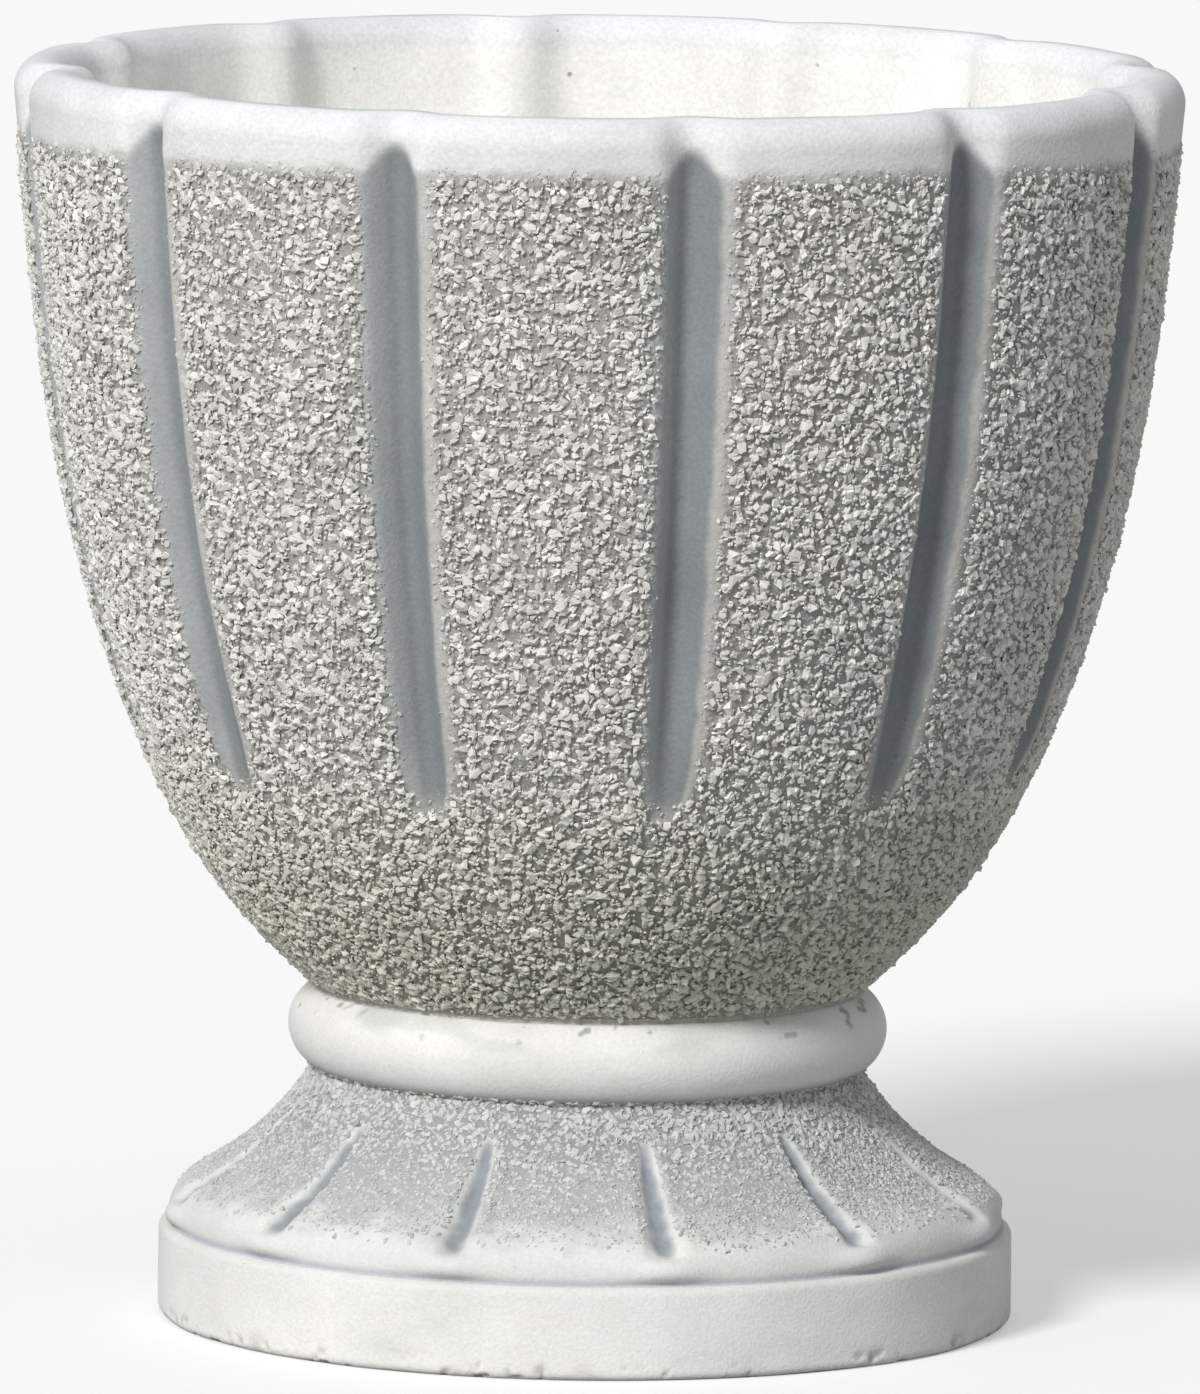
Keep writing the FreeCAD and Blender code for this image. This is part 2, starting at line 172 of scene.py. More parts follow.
# Layers on the bowl: cell, shortest and longest chip, share that is kept, and
# how far out of the face the chips sit, in their thickness.
BOWL_CHIPS = {
    "bowl_chips_a": (0.0041, 0.0046, 0.0108, 1.0, -0.20),
    "bowl_chips_b": (0.0028, 0.0020, 0.0040, 0.7, -0.05),
}
BOWL_TILT = 0.40
BOWL_SPREAD = (1.3, 3.2)    # beta distribution of the lengths
BOWL_TONE = (0.93, 0.10)    # mean and spread of the chips' shades, and their limits
BOWL_TONE_LIMITS = (0.55, 1.06)
THINNING = 0.7              # power of the chips' share that is kept
SPARSE_SIZE = 0.45          # size of the chips where they are sparse
SPARSE_DULL = 0.7           # how dull they are there
TURN_STEP = 0.05            # degrees and metres, to find the face's slope
RUN_STEP = 0.0004

SKIRT_CELL = 0.0022
SKIRT_LENGTHS = (0.0026, 0.0034)        # shortest, and spread up to the longest
NECK_LENGTHS = 0.0036       # added to that spread near the neck
NEAR_NECK = (0.085, 0.122)
SKIRT_BAND = (0.064, 0.131) # heights between which the skirt's line runs
SKIRT_INNERMOST = 0.130
SKIRT_THICK = (0.060, 0.080)            # the same for the loose chips of the skirt
SKIRT_CLEAR = (0.12, 0.42)
SKIRT_TILT = 0.24
SKIRT_BURY = -0.10
SKIRT_SPREAD = (1.3, 2.8)
SKIRT_TONE = (0.93, 0.08)
SKIRT_TONE_LIMITS = (0.6, 1.05)
SLOPE_STEP = 0.001          # along the skirt's line, to find its slope

# Shapes, for a chip of unit length.
CHIP_SEED = 7
CHIP_KINDS = 24
CHIP_SIDES = (3, 6)         # fewest sides, and one more than the most
CORNER_SHIFT = 0.36         # corners off an even spacing, in that spacing
CORNER_REACH = (0.72, 1.0)
CHIP_HALF_WIDTH = (0.26, 0.44)
TOP_SIZE = (0.62, 0.95)     # upper face, by the lower one
TOP_SHIFT = 0.09
CHIP_THICKNESS = (0.14, 0.22)
BELOW_MIDDLE = (0.5, 1.0)   # corners under and over the middle, in that thickness
ABOVE_MIDDLE = (0.35, 1.3)
TILT_LIMIT = 1.3            # largest tilt of a chip, in the layer's own

# ---------------------------------------------------------------- random relief and patches
# Size of the lumps, seed and octaves.
BOWL_LUMPS = (0.0035, 3, 2)
BOWL_WAVES = (0.045, 5, 2)
INNER_STAINS = (0.05, 11, 3)
CHIP_EDGE = (0.010, 13, 2)
FLUTE_EDGE = (0.011, 17, 3)
LOW_EDGE = (0.06, 19, 2)
SKIRT_EDGE = (0.008, 23, 3)
SKIRT_LUMPS = (0.0028, 29, 2)
FOOT_WAVES = (0.04, 31, 2)
CRUMBLE = (0.007, 37, 2)
SMEARS = (0.05, 41, 3)
SKIRT_PATCHES = (0.016, 43, 3)
GROOVE_EDGE = (0.007, 47, 2)
SOIL_PATCHES = (0.016, 53, 3)
RING_SPOTS = (0.007, 59, 2)
GROOVE_UNEVEN = (0.009, 61, 2)
UPRIGHT = np.array([1, 1, 0.25])        # draws patches out up and down, or round
ROUND = np.array([1, 1, 3.0])

BOWL_LUMP_HEIGHT = 0.0012
BOWL_WAVE_HEIGHT = 0.0006
SKIRT_LUMP_HEIGHT = 0.0005
FOOT_WAVE_HEIGHT = 0.0005
CRUMBLE_DEPTH = 0.0016
CRUMBLE_STEP = (0.22, 0.65)
CRUMBLE_TOP = (0.003, 0.010)
UNEVENNESS = 0.3            # of the grooves' depth


# ---------------------------------------------------------------- number helpers
HASH_PRIMES = (73856093, 19349663, 83492791)    # one for each direction of a lattice
SEED_PRIME = 2654435761
MIX_PRIME = 0x45D9F3B
WORD = 2 ** 32
LATTICE_SHIFT = 100.0       # keeps the cells' numbers above 0
SAME_PLACE = 1e-5           # points closer than this are one
TINY = 1e-12                # keeps a division from one by 0


def smooth(low, high, value):
    """0 below low, 1 above high, and an even step between them."""
    share = np.clip((value - low) / (high - low), 0.0, 1.0)
    return share * share * (3 - 2 * share)


def lattice(cells, seed):
    """A fixed random number, 0 to 1, for each cell of a lattice."""
    x, y, z = (cells[..., axis].astype(np.uint64) * np.uint64(HASH_PRIMES[axis]) for axis in range(3))
    key = (x ^ y ^ z) + np.uint64(seed * SEED_PRIME % WORD)
    key = key & np.uint64(WORD - 1)
    for shift in (16, 15):
        key ^= key >> np.uint64(shift)
        key = key * np.uint64(MIX_PRIME) & np.uint64(WORD - 1)
    return (key ^ key >> np.uint64(16)) / float(WORD)


def noise(points, size, seed, octaves=1):
    """Smooth random values from -1 to 1 at points, in lumps of a size."""
    total = np.zeros(points.shape[:-1])
    reach = 0.0
    for octave in range(octaves):
        scaled = points * (2 ** octave / size) + LATTICE_SHIFT
        cells = np.floor(scaled).astype(np.int64)
        share = scaled - cells
        share = share * share * (3 - 2 * share)
        value = np.zeros(points.shape[:-1])
        for corner in np.ndindex(2, 2, 2):
            weight = np.prod(np.where(np.array(corner) == 1, share, 1 - share), axis=-1)
            value += weight * lattice(cells + np.array(corner), seed + octave)
        total += (2 * value - 1) * 0.5 ** octave
        reach += 0.5 ** octave
    return total / reach


def blend(colour, other, share):
    """Mix of two colours by a share given for each point."""
    share = np.asarray(share)[..., None]
    return np.asarray(colour) * (1 - share) + np.asarray(other) * share


def arc_points(start, middle, end, count):
    """Points on the arc through three places of a half section."""
    (ax, ay), (bx, by), (cx, cy) = start, middle, end
    d = 2 * (ax * (by - cy) + bx * (cy - ay) + cx * (ay - by))
    a2, b2, c2 = ax * ax + ay * ay, bx * bx + by * by, cx * cx + cy * cy
    ox = (a2 * (by - cy) + b2 * (cy - ay) + c2 * (ay - by)) / d
    oy = (a2 * (cx - bx) + b2 * (ax - cx) + c2 * (bx - ax)) / d
    angles = np.unwrap([math.atan2(y - oy, x - ox) for x, y in (start, middle, end)])
    turn = np.linspace(angles[0], angles[2], count)
    radius = math.hypot(ax - ox, ay - oy)
    return np.stack([ox + radius * np.cos(turn), oy + radius * np.sin(turn)], axis=1)


def length_along(points):
    """Length along a line of points to each of them."""
    return np.concatenate([[0], np.cumsum(np.hypot(*np.diff(points, axis=0).T))])


def spaced(points, step):
    """The same line with a point at every step along it."""
    points = np.asarray(points, dtype=float)
    lengths = length_along(points)
    places = np.linspace(0, lengths[-1], max(2, round(lengths[-1] / step) + 1))
    return np.stack([np.interp(places, lengths, points[:, axis]) for axis in (0, 1)], axis=1)


def joined(*lines):
    """Lines of points end to end, without the doubled ends."""
    parts = [lines[0]]
    for line in lines[1:]:
        parts.append(line[1:] if np.allclose(line[0], parts[-1][-1], atol=SAME_PLACE) else line)
    return np.concatenate(parts)


# ---------------------------------------------------------------- bowl
def flare_line():
    """Outer face of a lobe from the seat to the lip, as a natural spline through its flare."""
    wall_height = LIP_HEIGHT - WALL / 2 - SEAT_HEIGHT
    wall_reach = RIM_RADIUS - SEAT_RADIUS
    knots = np.array([(SEAT_RADIUS + out * wall_reach, SEAT_HEIGHT + up * wall_height)
                      for up, out in WALL_FLARE])
    run = length_along(knots)
    gaps = np.diff(run)
    count = len(knots)
    matrix = np.eye(count)
    slopes = np.zeros((count, 2))
    for row in range(1, count - 1):
        matrix[row, row - 1] = gaps[row]
        matrix[row, row] = 2 * (gaps[row - 1] + gaps[row])
        matrix[row, row + 1] = gaps[row - 1]
        slopes[row] = 3 * (gaps[row] * (knots[row] - knots[row - 1]) / gaps[row - 1]
                           + gaps[row - 1] * (knots[row + 1] - knots[row]) / gaps[row])
    matrix[0, 1] = matrix[-1, -2] = 0.5
    slopes[0] = 1.5 * (knots[1] - knots[0]) / gaps[0]
    slopes[-1] = 1.5 * (knots[-1] - knots[-2]) / gaps[-1]
    tangents = np.linalg.solve(matrix, slopes)
    line = []
    for place in np.linspace(0, run[-1], FLARE_POINTS):
        knot = min(int(np.searchsorted(run, place, side="right")) - 1, count - 2)
        t = (place - run[knot]) / gaps[knot]
        line.append(knots[knot] * (1 + 2 * t) * (1 - t) ** 2
                    + tangents[knot] * gaps[knot] * t * (1 - t) ** 2
                    + knots[knot + 1] * t * t * (3 - 2 * t)
                    + tangents[knot + 1] * gaps[knot] * t * t * (t - 1))
    return np.array(line)


def offset_line(line, distance):
    """A line moved square to itself, to its left."""
    along = np.gradient(line, axis=0)
    along /= np.hypot(along[:, 0], along[:, 1])[:, None]
    return line + distance * np.stack([-along[:, 1], along[:, 0]], axis=1)


FLARE = flare_line()


def bowl_section():
    """Half section of the bowl, closed, with the zone of each point."""
    outer = spaced(FLARE, BOWL_ROW)
    inner = offset_line(FLARE, WALL)
    inner = inner[inner[:, 1] > FLOOR_HEIGHT + WALL_FOOT][::-1]
    top = (outer[-1] + inner[0]) / 2 + np.array([0, WALL / 2])
    lip = arc_points(outer[-1], top, inner[0], LIP_STEPS + 1)
    foot_of_wall = inner[-1]
    bend = np.array([foot_of_wall[0] - DISH_BEND[0], FLOOR_HEIGHT + DISH_BEND[1]])
    dish = arc_points(foot_of_wall, bend, (DISH_RADIUS, FLOOR_HEIGHT), DISH_POINTS)
    spigot_foot = SEAT_HEIGHT - SPIGOT_LENGTH
    under = np.array([
        (DISH_RADIUS, FLOOR_HEIGHT), (SLEEVE_RADIUS, FLOOR_HEIGHT), (SLEEVE_RADIUS, spigot_foot),
        (SPIGOT_RADIUS, spigot_foot), (SPIGOT_RADIUS, SEAT_HEIGHT), (SEAT_RADIUS, SEAT_HEIGHT)])
    section = joined(outer, lip, spaced(inner, INNER_ROW), dish, spaced(under, UNDER_ROW))
    zone = np.full(len(section), INSIDE)
    zone[:len(outer)] = OUTSIDE
    zone[len(outer):len(outer) + LIP_STEPS] = LIP
    return section, zone


def relief(height):
    """Share of the flutes' full depth at a height over the seat."""
    share = np.clip((height - FLUTE_END) / FLUTE_RUN_OUT, 0.0, 1.0)
    return np.sqrt(1 - (1 - share) ** 2)


def from_middle(turn, first_turn):
    """Degrees from the nearest flute or groove, less than 0 to its left."""
    return (turn - first_turn + LOBE_ANGLE / 2) % LOBE_ANGLE - LOBE_ANGLE / 2


def bowl_radius(radius, height, turn, inside=0.0):
    """Radius of the fluted face where the round one has radius, softer in the lip and inside."""
    off = np.abs(from_middle(turn, FLUTE_TURN))
    soft = np.maximum(smooth(*LIP_SOFT, height), inside)
    half_angle = FLUTE_HALF_ANGLE * (1 + SOFT_WIDER * soft + INSIDE_WIDER * inside)
    depth = FLUTE_DEPTH * (1 - SOFT_SHALLOWER * soft)
    flute = depth * np.exp(-(off / half_angle) ** FLUTE_SHARPNESS)
    crown = LOBE_CROWN * (1 - off / (LOBE_ANGLE / 2)) ** 2
    return radius * (1 - relief(height - SEAT_HEIGHT) * (flute + crown) / RIM_RADIUS)


def turned(radius, height, turn):
    """Points at radii, heights and turns from the front."""
    angle = np.radians(turn)
    return np.stack([radius * np.sin(angle), -radius * np.cos(angle), height + 0 * angle], axis=-1)


def column_turns(first_turn, per_lobe):
    """Turns of the columns of a mesh, closer together at the flutes."""
    share = np.arange(per_lobe) / per_lobe * 2 - 1
    offsets = LOBE_ANGLE / 2 * ((1 - COLUMN_BIAS) * share + COLUMN_BIAS * share ** 3)
    lobes = np.arange(LOBES)[:, None] * LOBE_ANGLE
    return (first_turn + lobes + offsets[None, :]).ravel()


def flute_taper(height):
    """Share of its width that a flute's smooth strip keeps near its lower end."""
    return TAPER_KEEP + (1 - TAPER_KEEP) * smooth(*TAPER_RELIEF, relief(height))


def chip_edge(turn):
    """Height over the seat of the chips' upper edge."""
    return CHIP_TOP - CHIP_DROP * (1 - np.cos(np.radians(turn)))


def chip_share(height, turn):
    """How thickly the chips lie on the bowl's outer face, 0 to 1."""
    up = height - SEAT_HEIGHT
    strip = smooth(*STRIP_END, relief(up))
    off = from_middle(turn, FLUTE_TURN) / flute_taper(up)
    beside = np.where(off < 0, smooth(*STRIP_LEFT, -off), smooth(*STRIP_RIGHT, off))
    top = chip_edge(turn)
    below = 1 - smooth(top - CHIP_FADE, top, up)
    return (1 - strip * (1 - beside)) * below * smooth(*CHIP_FOOT, up)


# ---------------------------------------------------------------- foot
def foot_section():
    """Half section of the foot, closed, over its hollow."""
    edge = EDGE_ROUND
    bevel = edge * (1 - math.sqrt(0.5))
    low = arc_points((PLINTH_RADIUS - edge, 0), (PLINTH_RADIUS - bevel, bevel),
                     (PLINTH_RADIUS, edge), EDGE_POINTS)
    high = arc_points((PLINTH_RADIUS, PLINTH_HEIGHT - edge),
                      (PLINTH_RADIUS - bevel, PLINTH_HEIGHT - bevel),
                      (PLINTH_RADIUS - edge, PLINTH_HEIGHT), EDGE_POINTS)
    shoulder = arc_points((SHOULDER_RADIUS, PLINTH_HEIGHT + SHOULDER_LIFT),
                          (SHOULDER_RADIUS - SHOULDER_BEND[0], PLINTH_HEIGHT + SHOULDER_BEND[1]),
                          SKIRT_FOOT, SHOULDER_POINTS)
    chord = np.subtract(NECK, SKIRT_FOOT)
    hollow = np.array([chord[1], -chord[0]]) / np.hypot(*chord) * SKIRT_SWEEP
    skirt = arc_points(SKIRT_FOOT, np.add(SKIRT_FOOT, NECK) / 2 - hollow, NECK, SKIRT_POINTS)
    ring = arc_points(NECK, (RING_RADIUS, RING_HEIGHT), (RING_SEAT, FOOT_TOP), RING_POINTS)
    outer = spaced(joined(low, high, shoulder, skirt, ring), FOOT_ROW)
    inside = spaced(np.array([
        (RING_SEAT, FOOT_TOP), (SOCKET[0], FOOT_TOP), SOCKET, (PASSAGE_RADIUS, SOCKET[1]),
        (PASSAGE_RADIUS, HOLLOW_TOP[1]), HOLLOW_TOP, HOLLOW_WALL, (HOLLOW_WALL[0], 0),
        (PLINTH_RADIUS - edge, 0)]), HOLLOW_ROW)
    return joined(outer, inside), len(outer)


def groove(height, turn, radius):
    """Depth of the skirt's grooves, less than 0 on their raised lips, and how far in they are."""
    across = np.radians(from_middle(turn, GROOVE_TURN)) * radius
    share = np.clip((height - GROOVE_LOW) / (GROOVE_HIGH - GROOVE_LOW), 0.0, 1.0)
    ends = np.sqrt(np.clip(1 - np.abs(2 * share - 1) ** GROOVE_END_SHARPNESS, 0, 1))
    depth = GROOVE_DEPTHS[0] + (GROOVE_DEPTHS[1] - GROOVE_DEPTHS[0]) * share
    half_width = GROOVE_HALF_WIDTHS[0] + (GROOVE_HALF_WIDTHS[1] - GROOVE_HALF_WIDTHS[0]) * share
    core = ends * np.exp(-(np.abs(across) / half_width) ** GROOVE_SHARPNESS)
    swell = SWELL * np.exp(-(across / SWELL_REACH[0]) ** 2
                           - ((height - SWELL_PLACE) / SWELL_REACH[1]) ** 2)
    beside = np.abs(across) - RIDGE_PLACE * half_width
    ridge = RIDGE * np.exp(-(beside / RIDGE_REACH) ** 2)
    ridge = ridge * smooth(*RIDGE_IN, height) * (1 - smooth(*RIDGE_OUT, height))
    return depth * core - swell - ridge, core


# ---------------------------------------------------------------- meshes
def shown_inside(points):
    """Points held just inside the box of the solids."""
    low, high = (np.array(corner) for corner in START_BOX)
    return np.clip(points, low + BOX_MARGIN * np.array([1, 1, 0]), high - BOX_MARGIN)


def grid_normals(points):
    """Outward normals of a grid that closes round in both directions."""
    down = np.roll(points, -1, axis=0) - np.roll(points, 1, axis=0)
    round_ = np.roll(points, -1, axis=1) - np.roll(points, 1, axis=1)
    normals = np.cross(round_, down)
    return normals / np.maximum(np.linalg.norm(normals, axis=-1), TINY)[..., None]


def mesh_object(name, points, faces, tint, material, nodes, normals=None):
    """A piece of the object that stands for solids of the frame."""
    mesh = bpy.data.meshes.new(name)
    corners = faces.shape[1]
    mesh.vertices.add(len(points))
    mesh.vertices.foreach_set("co", shown_inside(points).astype(np.float32).ravel())
    mesh.loops.add(faces.size)
    mesh.loops.foreach_set("vertex_index", faces.astype(np.int32).ravel())
    mesh.polygons.add(len(faces))
    mesh.polygons.foreach_set("loop_start", np.arange(0, faces.size, corners, dtype=np.int32))
    mesh.update(calc_edges=True)
    colour = mesh.attributes.new("tint", "FLOAT_COLOR", "POINT")
    colour.data.foreach_set("color", tint.astype(np.float32).ravel())
    mesh.polygons.foreach_set("use_smooth", np.full(len(faces), normals is not None))
    if normals is not None:
        mesh.normals_split_custom_set_from_vertices(normals.reshape(-1, 3).tolist())
    mesh.materials.append(material)
    obj = bpy.data.objects.new(name, mesh)
    bpy.context.scene.collection.objects.link(obj)
    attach(obj, "root")
    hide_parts(*nodes)
    return obj


def skin(prefix, points, tint, material, node):
    """The turned skin of a casting, as one piece for each lobe."""
    rows, columns = points.shape[:2]
    normals = grid_normals(points)
    per_lobe = columns // LOBES
    row = np.arange(rows)[:, None]
    column = np.arange(per_lobe)[None, :]
    width = per_lobe + 1
    corner = row * width + column
    below = (row + 1) % rows * width + column
    faces = np.stack([corner, corner + 1, below + 1, below], axis=-1).reshape(-1, 4)
    for lobe in range(LOBES):
        picked = np.arange(lobe * per_lobe, (lobe + 1) * per_lobe + 1) % columns
        mesh_object("%s_%02d" % (prefix, lobe + 1), points[:, picked].reshape(-1, 3), faces,
                    tint[:, picked].reshape(-1, 4), material, [node], normals[:, picked])


def chip_shapes(rng):
    """Angular crushed stones of unit length, as corners and triangles."""
    shapes = []
    for _ in range(CHIP_KINDS):
        sides = int(rng.integers(*CHIP_SIDES))
        shift = rng.uniform(-CORNER_SHIFT, CORNER_SHIFT, sides)
        turn = (np.arange(sides) + shift) * 2 * math.pi / sides
        reach = rng.uniform(*CORNER_REACH, sides)
        half_width = rng.uniform(*CHIP_HALF_WIDTH)
        outline = np.stack([0.5 * np.cos(turn), half_width * np.sin(turn)], axis=1)
        outline *= reach[:, None]
        top = outline * rng.uniform(*TOP_SIZE) + rng.uniform(-TOP_SHIFT, TOP_SHIFT, 2)
        thickness = rng.uniform(*CHIP_THICKNESS)
        low = np.column_stack([outline, -thickness * rng.uniform(*BELOW_MIDDLE, sides)])
        high = np.column_stack([top, thickness * rng.uniform(*ABOVE_MIDDLE, sides)])
        shapes.append(hull_of(np.concatenate([low, high])))
    return shapes


def hull_of(points):
    """Corners and triangles of the hull round some points."""
    cloud = bpy.data.meshes.new("hull")
    cloud.from_pydata(points.tolist(), [], [])
    work = bmesh.new()
    work.from_mesh(cloud)
    bpy.data.meshes.remove(cloud)
    made = bmesh.ops.convex_hull(work, input=work.verts)
    loose = [v for v in made["geom_interior"] if isinstance(v, bmesh.types.BMVert)]
    bmesh.ops.delete(work, geom=loose, context="VERTS")
    work.verts.index_update()
    corners = np.array([v.co[:] for v in work.verts])
    triangles = np.array([[v.index for v in face.verts] for face in work.faces])
    work.free()
    return corners, triangles


def chip_frames(normals, rng, tilt):
    """Axes of each chip: spun at random on the face, and tipped a little."""
    count = len(normals)
    upward = np.array([0.0, 0.0, 1.0]) - normals * normals[:, 2:3]
    upward /= np.maximum(np.linalg.norm(upward, axis=1), TINY)[:, None]
    side = np.cross(upward, normals)
    spin = rng.uniform(0, 2 * math.pi, count)[:, None]
    long_axis = side * np.cos(spin) + upward * np.sin(spin)
    axis = normals + tilt * np.clip(rng.normal(size=(count, 3)), -TILT_LIMIT, TILT_LIMIT)
    axis /= np.linalg.norm(axis, axis=1)[:, None]
    long_axis -= axis * np.sum(long_axis * axis, axis=1)[:, None]
    long_axis /= np.linalg.norm(long_axis, axis=1)[:, None]
    return np.stack([long_axis, np.cross(axis, long_axis), axis], axis=2)


def row_of_chips(level, line, run, cell, rng):
    """Turns of one row of chips, and their lengths along a section's line."""
    count = int(2 * math.pi * np.interp(level, run, line[:, 0]) / cell)
    turn = (np.arange(count) + rng.uniform(-CHIP_JITTER, CHIP_JITTER, count)) * 360.0 / count
    where = level + rng.uniform(-CHIP_JITTER, CHIP_JITTER, count) * cell
    return turn, np.clip(where, 0, run[-1] - LINE_END)


def chip_tints(colour, tone):
    """Colours of some chips, from the shared one and each chip's shade."""
    return np.array(colour) * tone[:, None]


def scatter(prefix, chips, lengths, tint, shapes, rng, tilt, bury, material, node, first_turn):
    """Chips set in a face, as one piece for each lobe: their places, outward normals and turns."""
    places, normals, turns = chips
    tint = np.concatenate([tint, np.full((len(tint), 1), CHIP_GRAIN)], axis=1)
    frames = chip_frames(normals, rng, tilt)
    kinds = rng.integers(0, len(shapes), len(places))
    heights = np.array([np.ptp(shape[0][:, 2]) for shape in shapes])
    middles = places + normals * (lengths * heights[kinds] * bury)[:, None]
    sector = (np.floor((turns - first_turn) / LOBE_ANGLE) % LOBES).astype(int)
    for lobe in range(LOBES):
        points, faces, colours = [], [], []
        start = 0
        for kind, (corners, triangles) in enumerate(shapes):
            chosen = np.flatnonzero((sector == lobe) & (kinds == kind))
            if not len(chosen):
                continue
            sized = corners[None] * lengths[chosen, None, None]
            points.append((np.einsum("nij,nkj->nki", frames[chosen], sized)
                           + middles[chosen, None]).reshape(-1, 3))
            first = start + np.arange(len(chosen)) * len(corners)
            faces.append((triangles[None] + first[:, None, None]).reshape(-1, 3))
            colours.append(np.repeat(tint[chosen], len(corners), axis=0))
            start += len(chosen) * len(corners)
        if points:
            mesh_object("%s_%02d" % (prefix, lobe + 1), np.concatenate(points),
                        np.concatenate(faces), np.concatenate(colours), material, [node])


# ---------------------------------------------------------------- materials
MIDDLE_NOISE = (0.3, 0.7)   # values of a noise texture that count as dark and light
PATCH_SCALE = 18.0          # lumps to the metre in the mottling
PATCH_DETAIL = 4.0
GRAIN_DETAIL = 3.0
PIT_DETAIL = 1.0
STONE_SHINE = 0.25
PIT_SCALE = 75.0
PIT_PLACES = 40.0           # lumps to the metre in what leaves most of the pits out
PIT_STEP = (0.60, 0.74)
PIT_SIZE = 0.12             # largest pit, in the spacing of the pits
PIT_EDGE = (-0.02, 0.03)
PIT_SHADE = (0.50, 0.49, 0.45, 1)
PLAIN_SHADES = (0.75, 1.1)


def node_material(name):
    """A new material, with its nodes and links."""
    material = bpy.data.materials.new(name)
    material.use_nodes = True
    return material, material.node_tree.nodes, material.node_tree.links


def add_noise(nodes, links, scale, detail, coordinate):
    """A noise texture in the piece's own space."""
    texture = nodes.new("ShaderNodeTexNoise")
    texture.inputs["Scale"].default_value = scale
    texture.inputs["Detail"].default_value = detail
    links.new(coordinate, texture.inputs["Vector"])
    return texture


def ramp(nodes, links, source, step, ends):
    """Maps a texture's value between two ends."""
    mapped = nodes.new("ShaderNodeMapRange")
    mapped.inputs["From Min"].default_value = step[0]
    mapped.inputs["From Max"].default_value = step[1]
    mapped.inputs["To Min"].default_value = ends[0]
    mapped.inputs["To Max"].default_value = ends[1]
    links.new(source, mapped.inputs["Value"])
    return mapped.outputs["Result"]


def times(nodes, links, first, second):
    """Product of two colours."""
    product = nodes.new("ShaderNodeMix")
    product.data_type = "RGBA"
    product.blend_type = "MULTIPLY"
    product.inputs["Factor"].default_value = 1.0
    links.new(first, product.inputs["A"])
    links.new(second, product.inputs["B"])
    return product.outputs["Result"]


def calculated(nodes, links, operation, first, second):
    """Result of an operation on two values, the second a socket or a number."""
    work = nodes.new("ShaderNodeMath")
    work.operation = operation
    links.new(first, work.inputs[0])
    if isinstance(second, float):
        work.inputs[1].default_value = second
    else:
        links.new(second, work.inputs[1])
    return work.outputs[0]


def pit_rims(nodes, links, place):
    """0 in a few scattered round pits and 1 around them."""
    holes = nodes.new("ShaderNodeTexVoronoi")
    holes.inputs["Scale"].default_value = PIT_SCALE
    links.new(place, holes.inputs["Vector"])
    sparse = add_noise(nodes, links, PIT_PLACES, PIT_DETAIL, place)
    reach = ramp(nodes, links, sparse.outputs["Fac"], PIT_STEP, (0.0, PIT_SIZE))
    depth = calculated(nodes, links, "SUBTRACT", holes.outputs["Distance"], reach)
    return ramp(nodes, links, depth, PIT_EDGE, (0.0, 1.0))


def stone_material(name, roughness, mottling, grain, grain_size, pits):
    """Cement or marble: the piece's own tint, mottled, grained and pitted."""
    material, nodes, links = node_material(name)
    shader = nodes["Principled BSDF"]
    shader.inputs["Roughness"].default_value = roughness
    shader.inputs["Specular IOR Level"].default_value = STONE_SHINE
    tint = nodes.new("ShaderNodeAttribute")
    tint.attribute_name = "tint"
    place = nodes.new("ShaderNodeTexCoord").outputs["Object"]
    shades = (1 - mottling, 1 + mottling / 2)
    patches = add_noise(nodes, links, PATCH_SCALE, PATCH_DETAIL, place)
    fine = add_noise(nodes, links, 1.0 / grain_size, GRAIN_DETAIL, place)
    colour = tint.outputs["Color"]
    for texture in (patches, fine):
        shade = ramp(nodes, links, texture.outputs["Fac"], MIDDLE_NOISE, shades)
        colour = times(nodes, links, colour, shade)
    height = fine.outputs["Fac"]
    if pits:
        rim = pit_rims(nodes, links, place)
        shade = nodes.new("ShaderNodeMix")
        shade.data_type = "RGBA"
        shade.inputs["A"].default_value = PIT_SHADE
        shade.inputs["B"].default_value = (1, 1, 1, 1)
        links.new(rim, shade.inputs["Factor"])
        colour = times(nodes, links, colour, shade.outputs["Result"])
        height = calculated(nodes, links, "ADD", height, rim)
    links.new(colour, shader.inputs["Base Color"])
    bump = nodes.new("ShaderNodeBump")
    bump.inputs["Strength"].default_value = 1.0
    links.new(height, bump.inputs["Height"])
    deepness = calculated(nodes, links, "MULTIPLY", tint.outputs["Alpha"], grain)
    links.new(deepness, bump.inputs["Distance"])
    links.new(bump.outputs["Normal"], shader.inputs["Normal"])
    return material


def plain_material(name, colour, roughness, metallic, grain_size, bump_height):
    """A single finish with a fine grain, for the pieces shown as solids."""
    material, nodes, links = node_material(name)
    shader = nodes["Principled BSDF"]
    shader.inputs["Roughness"].default_value = roughness
    shader.inputs["Metallic"].default_value = metallic
    place = nodes.new("ShaderNodeTexCoord").outputs["Object"]
    fine = add_noise(nodes, links, 1.0 / grain_size, PATCH_DETAIL, place)
    base = nodes.new("ShaderNodeRGB")
    base.outputs[0].default_value = colour + (1,)
    shade = ramp(nodes, links, fine.outputs["Fac"], MIDDLE_NOISE, PLAIN_SHADES)
    links.new(times(nodes, links, base.outputs[0], shade), shader.inputs["Base Color"])
    bump = nodes.new("ShaderNodeBump")
    bump.inputs["Distance"].default_value = bump_height
    links.new(fine.outputs["Fac"], bump.inputs["Height"])
    links.new(bump.outputs["Normal"], shader.inputs["Normal"])
    return material


